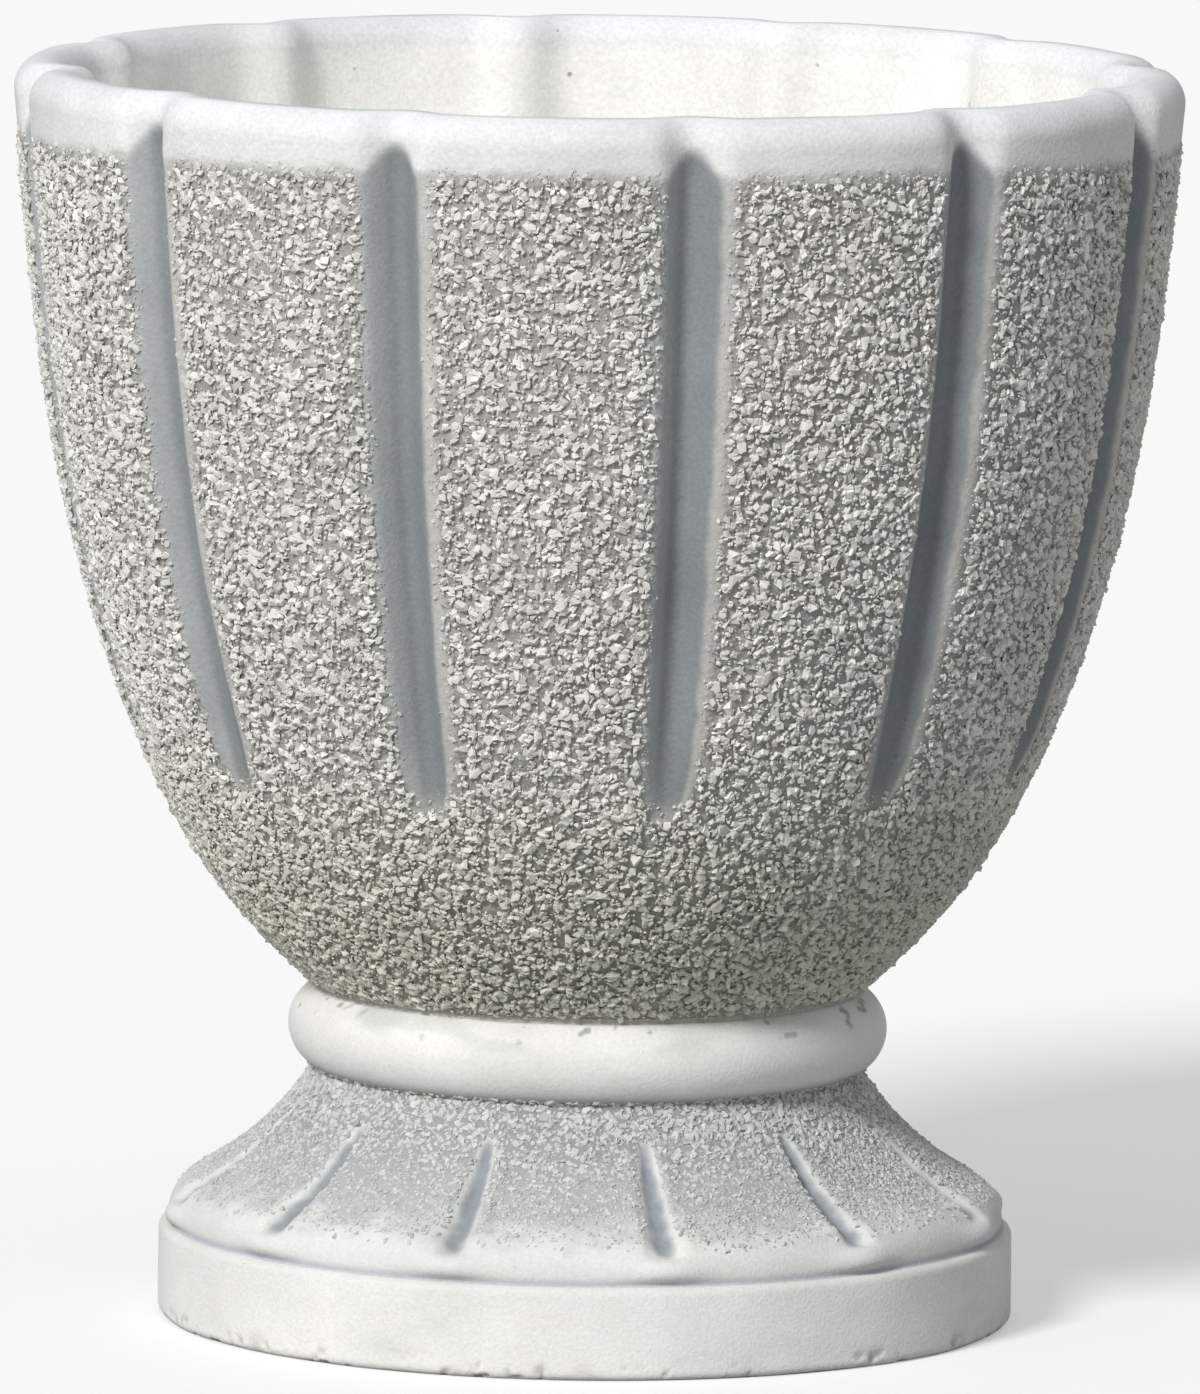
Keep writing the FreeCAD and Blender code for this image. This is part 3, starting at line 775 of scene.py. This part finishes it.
# ---------------------------------------------------------------- colours
WHITE = (0.84, 0.84, 0.84)
LIP_COOL = (0.93, 0.95, 0.99)
CREAM = (0.90, 0.895, 0.87)
SMOOTH_GREY = (0.54, 0.53, 0.50)
MATRIX = (0.42, 0.415, 0.395)
CHIP = (0.82, 0.81, 0.775)
FLUTE_BLUE = (0.28, 0.302, 0.318)
# Painted fill light: each flute's left wall faces away from the sun, so it is given a lighter colour
# than the flute's floor to lift its shade.
FLUTE_WALL_PAINTED_FILL = (0.45, 0.47, 0.477)
LOW_GREEN = (0.86, 0.87, 0.80)
FOOT_WHITE = (0.85, 0.845, 0.82)
SHOULDER_WHITE = (0.74, 0.74, 0.725)
RING_WHITE = (0.84, 0.835, 0.81)
SKIRT_GREY = (0.29, 0.305, 0.325)
SKIRT_PALE = (0.44, 0.45, 0.465)
SKIRT_CHIP = (0.64, 0.64, 0.63)
GROOVE_BLUE = (0.27, 0.30, 0.34)
SMEAR = (0.50, 0.51, 0.52)
SPOT = (0.34, 0.345, 0.34)
STAIN = (0.74, 0.74, 0.71)
DIRT = (0.30, 0.27, 0.22)
# Brown dirt in the crease under the neck ring, darkened further as painted shade where the ring
# overhangs the skirt.
CREASE_DIRT_AND_SHADE = (0.34, 0.315, 0.27)
# Blue-grey of the plinth's ledge, darkened as painted shade in the corner where the shoulder rises
# from it.
LEDGE_BLUE_AND_SHADE = (0.40, 0.42, 0.48)
MORTAR = (0.55, 0.54, 0.50)
DRAIN_GREY = (0.36, 0.38, 0.40)
STEEL = (0.24, 0.17, 0.13)
NO_TINT = (1, 1, 1)

# Where the bowl's colours change: heights over the seat, degrees beside a
# flute's middle or values of a noise, and how strongly a colour takes.
INNER_STAIN_STEP = (0.1, 0.6)
INNER_STAIN_SHADE = 0.82
INNER_STAIN_MIX = 0.7
BODY_FADE = (-0.009, -0.002)    # from the chips' upper edge
BODY_RAGGED = 0.004
MATRIX_GAIN = 1.2
FLUTE_RAGGED = 0.34
FLUTE_RELIEF = (0.02, 0.5)
FLUTE_LEFT = (-4.3, -2.5)
FLUTE_RIGHT = (2.5, 3.3)
FLUTE_TOP = 0.456           # seat to the arched upper end of a flute's shade
ARCH_DROP = 0.012           # how far the arch falls over its half width
ARCH_HALF_WIDTH = 2.4
ARCH_SOFT = 0.005
# Degrees left of a flute's middle over which the painted fill light on its left wall fades out.
FLUTE_WALL_FILL_STEP = (-1.8, -0.6)
LOW_STEP = (0.03, 0.17)
LOW_RAGGED = 0.02
LIP_COOL_STEP = (LIP_HEIGHT - 0.013, LIP_HEIGHT - 0.003)
BOWL_GRAIN = 0.25           # strength of the grain in smooth cement, up to 1 in the chips' bed

# The same for the foot, with heights over the ground.
SKIRT_RAGGED = 0.010
SHOULDER_STEP = (0.041, 0.046)
RING_STEP = (0.131, 0.136)
SMEAR_STEP = (0.1, 0.7)
SMEAR_HEIGHT = (0.153, 0.165)
SMEAR_MIX = 0.8
STAIN_MIX = 0.5
SPOT_STEP = (0.42, 0.60)
SPOT_HEIGHT = (0.157, 0.163)
SPOT_MIX = 0.8
PALE_STEP = (0.078, 0.118)
PALE_RAGGED = 0.35
SKIRT_MIX = 0.9
GROOVE_STEP = (0.22, 0.95)
GROOVE_RAGGED = 0.24
GROOVE_MIX = 0.95
CREASE_REACH = 0.0035
CREASE_MIX = 0.75
LEDGE_PLACE = 0.0485
LEDGE_REACH = 0.0022
LEDGE_WIDTH = 0.004
LEDGE_MIX = 0.8
SOIL_STEP = (0.05, 0.55)
SOIL_HEIGHT = (0.004, 0.016)
SOIL_MIX = 0.28
CRUMBLE_MIX = 0.6
FOOT_GRAIN = (0.30, 0.5)    # strength of the grain in smooth cement, and added in the chips' bed


# ---------------------------------------------------------------- castings
def in_patches(points, lumps, step):
    """Share of 0 to 1 in random patches."""
    return smooth(*step, noise(points, *lumps))


def bell(value, middle, reach):
    """1 at the middle, falling off evenly to both sides."""
    return np.exp(-((value - middle) / reach) ** 2)


def bowl_colours(points, height, turns, share, zone):
    """Colour of each point of the bowl's skin."""
    off = from_middle(turns, FLUTE_TURN)
    up = height - SEAT_HEIGHT
    everywhere = np.ones_like(share)
    outside = (zone == OUTSIDE) * everywhere
    inside = (zone == INSIDE) * everywhere

    colour = blend(WHITE, CREAM, inside)
    stain = in_patches(points * UPRIGHT, INNER_STAINS, INNER_STAIN_STEP)
    colour = blend(colour, np.array(CREAM) * INNER_STAIN_SHADE, stain * inside * INNER_STAIN_MIX)

    top = chip_edge(turns)
    ragged_up = up + BODY_RAGGED * noise(points, *CHIP_EDGE)
    body = outside * (1 - smooth(top + BODY_FADE[0], top + BODY_FADE[1], ragged_up))
    bed = np.clip(share * MATRIX_GAIN, 0, 1)
    colour = blend(colour, MATRIX, body * bed)
    colour = blend(colour, SMOOTH_GREY, body * (1 - bed))

    ragged = off / flute_taper(up) + FLUTE_RAGGED * noise(points, *FLUTE_EDGE)
    in_flute = smooth(*FLUTE_LEFT, ragged) * (1 - smooth(*FLUTE_RIGHT, ragged))
    arch = FLUTE_TOP - ARCH_DROP * (off / ARCH_HALF_WIDTH) ** 2
    below_arch = 1 - smooth(arch - ARCH_SOFT, arch + ARCH_SOFT, up)
    in_flute = in_flute * smooth(*FLUTE_RELIEF, relief(up)) * outside * below_arch
    # The left wall of each flute is painted lighter, as fill light for its shade.
    flute_colour = blend(FLUTE_BLUE, FLUTE_WALL_PAINTED_FILL, 1 - smooth(*FLUTE_WALL_FILL_STEP, off))
    colour = blend(colour, flute_colour, in_flute)

    low = 1 - smooth(*LOW_STEP, up + LOW_RAGGED * noise(points, *LOW_EDGE))
    colour = colour * blend(NO_TINT, LOW_GREEN, low * outside)
    return colour * blend(NO_TINT, LIP_COOL, smooth(*LIP_COOL_STEP, height) * everywhere)


def build_bowl_skin(cement):
    """The bowl's cement, lumpy where the chips lie."""
    section, zone = bowl_section()
    zone = zone[:, None]
    turns = column_turns(FLUTE_TURN, BOWL_COLUMNS)[None, :]
    radius, height = section[:, :1], section[:, 1:]
    inside = smooth(0, 1, np.cumsum(zone == LIP)[:, None] / LIP_STEPS)
    drawn = bowl_radius(radius, height, turns, inside)
    points = turned(drawn, np.broadcast_to(height, drawn.shape), np.broadcast_to(turns, drawn.shape))
    share = chip_share(height, turns) * (zone == OUTSIDE)
    normals = grid_normals(points)
    lumps = (noise(points, *BOWL_LUMPS) - 1.0) * share * BOWL_LUMP_HEIGHT
    waves = noise(points, *BOWL_WAVES) * BOWL_WAVE_HEIGHT
    points = points + normals * (lumps + waves)[..., None]
    colour = bowl_colours(points, height, turns, share, zone)
    grain = BOWL_GRAIN + (1 - BOWL_GRAIN) * share
    tint = np.concatenate([colour, grain[..., None]], axis=-1)
    skin("bowl_skin", points, tint, cement, "bowl")


def on_bowl(where, turn, run):
    """Points of the bowl's outer face, at lengths along its flare."""
    radius = np.interp(where, run, FLARE[:, 0])
    height = np.interp(where, run, FLARE[:, 1])
    return turned(bowl_radius(radius, height, turn), height, turn)


def chips_on_bowl(cell, keep, rng):
    """Places, outward normals and turns of a layer of chips on the bowl."""
    run = length_along(FLARE)
    rows = []
    for level in np.arange(cell / 2, run[-1], cell):
        turn, where = row_of_chips(level, FLARE, run, cell, rng)
        share = chip_share(np.interp(where, run, FLARE[:, 1]), turn)
        chosen = rng.uniform(size=len(turn)) < keep * share ** THINNING
        turn, where = turn[chosen], where[chosen]
        place = on_bowl(where, turn, run)
        across = on_bowl(where, turn + TURN_STEP, run) - place
        upward = on_bowl(where + RUN_STEP, turn, run) - place
        normal = np.cross(across, upward)
        normal /= np.linalg.norm(normal, axis=1)[:, None]
        rows.append((place, normal, turn))
    return [np.concatenate(lists) for lists in zip(*rows)]


def build_bowl_chips(prefix, layer, rng, marble, shapes):
    """One layer of the marble chips in the bowl's face."""
    cell, shortest, longest, keep, bury = layer
    chips = chips_on_bowl(cell, keep, rng)
    height, turns = chips[0][:, 2], chips[2]
    fullness = chip_share(height, turns)
    lengths = shortest + (longest - shortest) * rng.beta(*BOWL_SPREAD, len(turns))
    lengths *= SPARSE_SIZE + (1 - SPARSE_SIZE) * fullness
    tint = chip_tints(CHIP, np.clip(rng.normal(*BOWL_TONE, len(turns)), *BOWL_TONE_LIMITS))
    low = 1 - smooth(*LOW_STEP, height - SEAT_HEIGHT)
    tint = tint * blend(NO_TINT, LOW_GREEN, low)
    tint = blend(tint, SMOOTH_GREY, (1 - fullness) * SPARSE_DULL)
    scatter(prefix, chips, lengths, tint, shapes, rng, BOWL_TILT, bury, marble,
            "bowl", FLUTE_TURN)


def foot_colours(points, radius, height, outside, chips, core, crumble):
    """Colour of each point of the foot's skin."""
    colour = np.broadcast_to(FOOT_WHITE, points.shape)
    colour = blend(colour, SHOULDER_WHITE, outside * smooth(*SHOULDER_STEP, height))
    colour = blend(colour, RING_WHITE, outside * smooth(*RING_STEP, height))
    smear = in_patches(points * ROUND, SMEARS, SMEAR_STEP)
    colour = blend(colour, SMEAR, smear * smooth(*SMEAR_HEIGHT, height) * SMEAR_MIX)
    spots = in_patches(points, RING_SPOTS, SPOT_STEP) * smooth(*SPOT_HEIGHT, height)
    colour = blend(colour, SPOT, spots * outside * SPOT_MIX)
    colour = blend(colour, STAIN, smear * STAIN_MIX)

    pale = 1 - smooth(*PALE_STEP, height) + PALE_RAGGED * noise(points, *SKIRT_PATCHES)
    skirt_colour = blend(SKIRT_GREY, SKIRT_PALE, np.clip(pale, 0, 1))
    colour = blend(colour, skirt_colour, np.clip(chips, 0, 1) * SKIRT_MIX)
    in_groove = smooth(*GROOVE_STEP, core + GROOVE_RAGGED * noise(points, *GROOVE_EDGE))
    colour = blend(colour, GROOVE_BLUE, in_groove * GROOVE_MIX)
    # Brown dirt and painted shade in the crease where the ring meets the skirt.
    crease_dirt_and_shade = bell(height, NECK[1], CREASE_REACH) * outside
    colour = blend(colour, CREASE_DIRT_AND_SHADE, crease_dirt_and_shade * CREASE_MIX)
    # Blue-grey ledge with painted shade in the corner between the plinth's top and the shoulder.
    ledge_blue_and_shade = bell(height, LEDGE_PLACE, LEDGE_REACH) * outside * (radius < PLINTH_RADIUS - LEDGE_WIDTH)
    colour = blend(colour, LEDGE_BLUE_AND_SHADE, ledge_blue_and_shade * LEDGE_MIX)

    soil = in_patches(points, SOIL_PATCHES, SOIL_STEP) * (1 - smooth(*SOIL_HEIGHT, height)) * outside
    return blend(colour, DIRT, np.maximum(crumble * CRUMBLE_MIX, soil * SOIL_MIX))


def build_foot_skin(cement):
    """The foot's cement, with its grooves, lumps and crumbled lower edge."""
    section, outer_count = foot_section()
    turns = column_turns(GROOVE_TURN, FOOT_COLUMNS)[None, :]
    radius, height = section[:, :1], section[:, 1:]
    full = radius + 0 * turns
    points = turned(full, height + 0 * full, turns + 0 * full)
    normals = grid_normals(points)
    outside = (np.arange(len(section)) < outer_count)[:, None] * np.ones_like(full)

    depth, core = groove(height, turns, radius)
    on_skirt = outside * smooth(*GROOVE_IN, height) * (1 - smooth(*GROOVE_OUT, height))
    depth, core = depth * on_skirt, core * on_skirt
    ragged_height = height + SKIRT_RAGGED * noise(points, *SKIRT_EDGE)
    chips = outside * smooth(*SKIRT_CHIPS_IN, ragged_height) * (1 - smooth(*SKIRT_CHIPS_OUT, height))
    chips = chips * (1 - smooth(*GROOVE_CLEAR, core))

    lumps = noise(points, *SKIRT_LUMPS) * chips * SKIRT_LUMP_HEIGHT
    waves = noise(points, *FOOT_WAVES) * FOOT_WAVE_HEIGHT * outside
    crumble = in_patches(points, CRUMBLE, CRUMBLE_STEP) * (1 - smooth(*CRUMBLE_TOP, height)) * outside
    uneven = 1 + UNEVENNESS * noise(points, *GROOVE_UNEVEN) * (depth > 0)
    raised = lumps + waves - uneven * depth - CRUMBLE_DEPTH * crumble
    points = points + normals * raised[..., None]
    colour = foot_colours(points, radius, height, outside, chips, core, crumble)
    tint = np.concatenate([colour, (FOOT_GRAIN[0] + FOOT_GRAIN[1] * chips)[..., None]], axis=-1)
    skin("foot_skin", points, tint, cement, "foot")


def skirt_line():
    """The part of the foot's half section that carries chips."""
    section, outer_count = foot_section()
    skirt = section[:outer_count]
    low, high = SKIRT_BAND
    return skirt[(skirt[:, 1] > low) & (skirt[:, 1] < high) & (skirt[:, 0] > SKIRT_INNERMOST)]


def chips_on_skirt(rng):
    """Places, outward normals and turns of the chips on the skirt."""
    skirt = skirt_line()
    run = length_along(skirt)
    rows = []
    for level in np.arange(SKIRT_CELL / 2, run[-1], SKIRT_CELL):
        turn, where = row_of_chips(level, skirt, run, SKIRT_CELL, rng)
        radius, height = (np.interp(where, run, skirt[:, axis]) for axis in (0, 1))
        depth, core = groove(height, turn, radius)
        thick = smooth(*SKIRT_THICK, height) * (1 - smooth(*SKIRT_CLEAR, core))
        chosen = rng.uniform(size=len(turn)) < thick
        turn, where, depth = turn[chosen], where[chosen], depth[chosen]
        radius, height = radius[chosen], height[chosen]
        ahead = where + SLOPE_STEP
        inward = radius - np.interp(ahead, run, skirt[:, 0])
        upward = np.interp(ahead, run, skirt[:, 1]) - height
        step = np.hypot(inward, upward)
        out = turned(upward / step, inward / step, turn)
        rows.append((turned(radius, height, turn) - out * depth[:, None], out, turn))
    return [np.concatenate(lists) for lists in zip(*rows)]


def build_foot_chips(rng, marble, shapes):
    """The marble chips in the skirt, larger near the neck."""
    chips = chips_on_skirt(rng)
    near_neck = smooth(*NEAR_NECK, chips[0][:, 2])
    shortest, spread = SKIRT_LENGTHS
    lengths = shortest + (spread + NECK_LENGTHS * near_neck) * rng.beta(*SKIRT_SPREAD, len(near_neck))
    tone = np.clip(rng.normal(*SKIRT_TONE, len(near_neck)), *SKIRT_TONE_LIMITS)
    scatter("foot_chips", chips, lengths, chip_tints(SKIRT_CHIP, tone), shapes, rng, SKIRT_TILT,
            SKIRT_BURY, marble, "foot", GROOVE_TURN)


def finish_solids():
    """Finishes for the pieces that are shown as they were made."""
    finishes = {
        "mortar": plain_material("bedding_mortar", MORTAR, roughness=0.95, metallic=0.0,
                                 grain_size=0.002, bump_height=0.0006),
        "drain": plain_material("drain_plastic", DRAIN_GREY, roughness=0.45, metallic=0.0,
                                grain_size=0.003, bump_height=0.00005),
        "steel": plain_material("bar_steel", STEEL, roughness=0.65, metallic=0.8,
                                grain_size=0.002, bump_height=0.0001),
    }
    for node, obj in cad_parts.items():
        if node in ("bowl", "foot"):
            continue
        kind = {"mortar_bed": "mortar", "drain_sleeve": "drain"}.get(node, "steel")
        obj.data.materials.clear()
        obj.data.materials.append(finishes[kind])


# ---------------------------------------------------------------- surroundings
CAMERA_DISTANCE = 9.253
CAMERA_HEIGHT = 1.5122
CAMERA_PITCH = 0.1282
CAMERA_ROLL = 0.0128
CAMERA_LENS = 469.3
CAMERA_SHIFT = 0.0059
CAMERA_REACH = 200.0
SENSOR_WIDTH = 36.0         # millimetres, as the lens
FLOOR_SEEN = (0.66, 0.66, 0.66)     # the floor's colour to the camera, and to other rays
FLOOR_BOUNCE = (0.35, 0.35, 0.35)
FLOOR_GLOW = 0.32                   # seen by the camera only
FLOOR_HALF = 40.0
SKY = (0.97, 0.985, 1.0, 1)
SKY_STRENGTH = 0.45
SUN = (1.0, 0.99, 0.97)
SUN_STRENGTH = 2.66
SUN_WIDTH = 16                      # degrees
SUN_WAY = (0.429, 0.686, -0.588)    # from the left front, and down


def add_floor():
    """A pale floor that carries the shadow and throws little light back."""
    material, nodes, links = node_material("pale_floor")
    shader = nodes["Principled BSDF"]
    shader.inputs["Roughness"].default_value = 1.0
    seen = nodes.new("ShaderNodeLightPath").outputs["Is Camera Ray"]
    shade = nodes.new("ShaderNodeMix")
    shade.data_type = "RGBA"
    shade.inputs["A"].default_value = FLOOR_BOUNCE + (1,)
    shade.inputs["B"].default_value = FLOOR_SEEN + (1,)
    links.new(seen, shade.inputs["Factor"])
    links.new(shade.outputs["Result"], shader.inputs["Base Color"])
    shader.inputs["Emission Color"].default_value = (1, 1, 1, 1)
    glow = calculated(nodes, links, "MULTIPLY", seen, FLOOR_GLOW)
    links.new(glow, shader.inputs["Emission Strength"])
    mesh = bpy.data.meshes.new("floor")
    half = FLOOR_HALF
    corners = [(-half, -half, 0), (half, -half, 0), (half, half, 0), (-half, half, 0)]
    mesh.from_pydata(corners, [], [(0, 1, 2, 3)])
    mesh.materials.append(material)
    floor = bpy.data.objects.new("floor", mesh)
    bpy.context.scene.collection.objects.link(floor)
    return floor


def add_light():
    """An even sky, and one soft sun."""
    scene = bpy.context.scene
    world = bpy.data.worlds.new("studio")
    world.use_nodes = True
    world.node_tree.nodes["Background"].inputs["Color"].default_value = SKY
    world.node_tree.nodes["Background"].inputs["Strength"].default_value = SKY_STRENGTH
    scene.world = world

    sun = bpy.data.lights.new("key", "SUN")
    sun.energy = SUN_STRENGTH
    sun.angle = math.radians(SUN_WIDTH)
    sun.color = SUN
    lamp = bpy.data.objects.new("key", sun)
    flat = math.hypot(SUN_WAY[0], SUN_WAY[1])
    lamp.rotation_euler = (math.atan2(flat, -SUN_WAY[2]), 0, math.atan2(-SUN_WAY[0], SUN_WAY[1]))
    scene.collection.objects.link(lamp)


def add_camera():
    """A camera with a long lens, pitched down and rolled a little, as the photo has it."""
    scene = bpy.context.scene
    camera = bpy.data.cameras.new("photo")
    camera.sensor_width = SENSOR_WIDTH
    camera.lens = CAMERA_LENS
    camera.shift_x = CAMERA_SHIFT
    camera.clip_end = CAMERA_REACH
    stand = bpy.data.objects.new("photo", camera)
    stand.location = (0, -CAMERA_DISTANCE, CAMERA_HEIGHT)
    aim = mathutils.Euler((math.pi / 2 - CAMERA_PITCH, 0, 0)).to_matrix()
    roll = mathutils.Matrix.Rotation(CAMERA_ROLL, 3, "Z")
    stand.rotation_euler = (aim @ roll).to_euler()
    scene.collection.objects.link(stand)
    scene.camera = stand
    return stand


def set_surroundings():
    """Floor, light and camera."""
    bpy.context.scene.view_settings.view_transform = "Standard"
    floor = add_floor()
    add_light()
    stand = add_camera()


def main():
    """The castings in their finishes, the other pieces, and the studio round them."""
    rng = np.random.default_rng(CHIP_SEED)
    bowl_cement = stone_material("bowl_cement", roughness=0.9, mottling=0.10,
                                 grain=0.0012, grain_size=0.0022, pits=True)
    foot_cement = stone_material("foot_cement", roughness=0.85, mottling=0.07,
                                 grain=0.0010, grain_size=0.0018, pits=True)
    marble = stone_material("marble_chip", roughness=0.6, mottling=0.05,
                            grain=0.0002, grain_size=0.0008, pits=False)
    shapes = chip_shapes(rng)
    build_bowl_skin(bowl_cement)
    for prefix, layer in BOWL_CHIPS.items():
        build_bowl_chips(prefix, layer, rng, marble, shapes)
    build_foot_skin(foot_cement)
    build_foot_chips(rng, marble, shapes)
    finish_solids()
    set_surroundings()


main()
